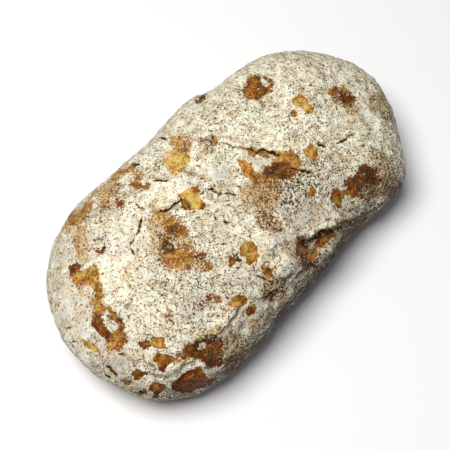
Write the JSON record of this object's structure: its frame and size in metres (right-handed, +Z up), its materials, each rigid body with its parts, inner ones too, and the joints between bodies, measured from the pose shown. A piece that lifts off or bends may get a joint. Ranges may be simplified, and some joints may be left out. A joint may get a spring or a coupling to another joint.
{
  "type": "sourdough loaf",
  "caption": "Long rustic sourdough loaf with a slight waist, a thick crust torn and folded in places, and a heavy dusting of flour.",
  "frame": {"origin": "under the middle of the loaf, on the flat foot that it stands on", "axes": "+X along the loaf, towards its narrower end; +Y across it, away from the side with the deep waist; +Z up"},
  "size_m": [0.3092, 0.1672, 0.0885],
  "materials": {
    "floured_crust": "matt"
  },
  "bodies": {
    "root": {"loaf": "floured_crust"}
  },
  "joints": []
}
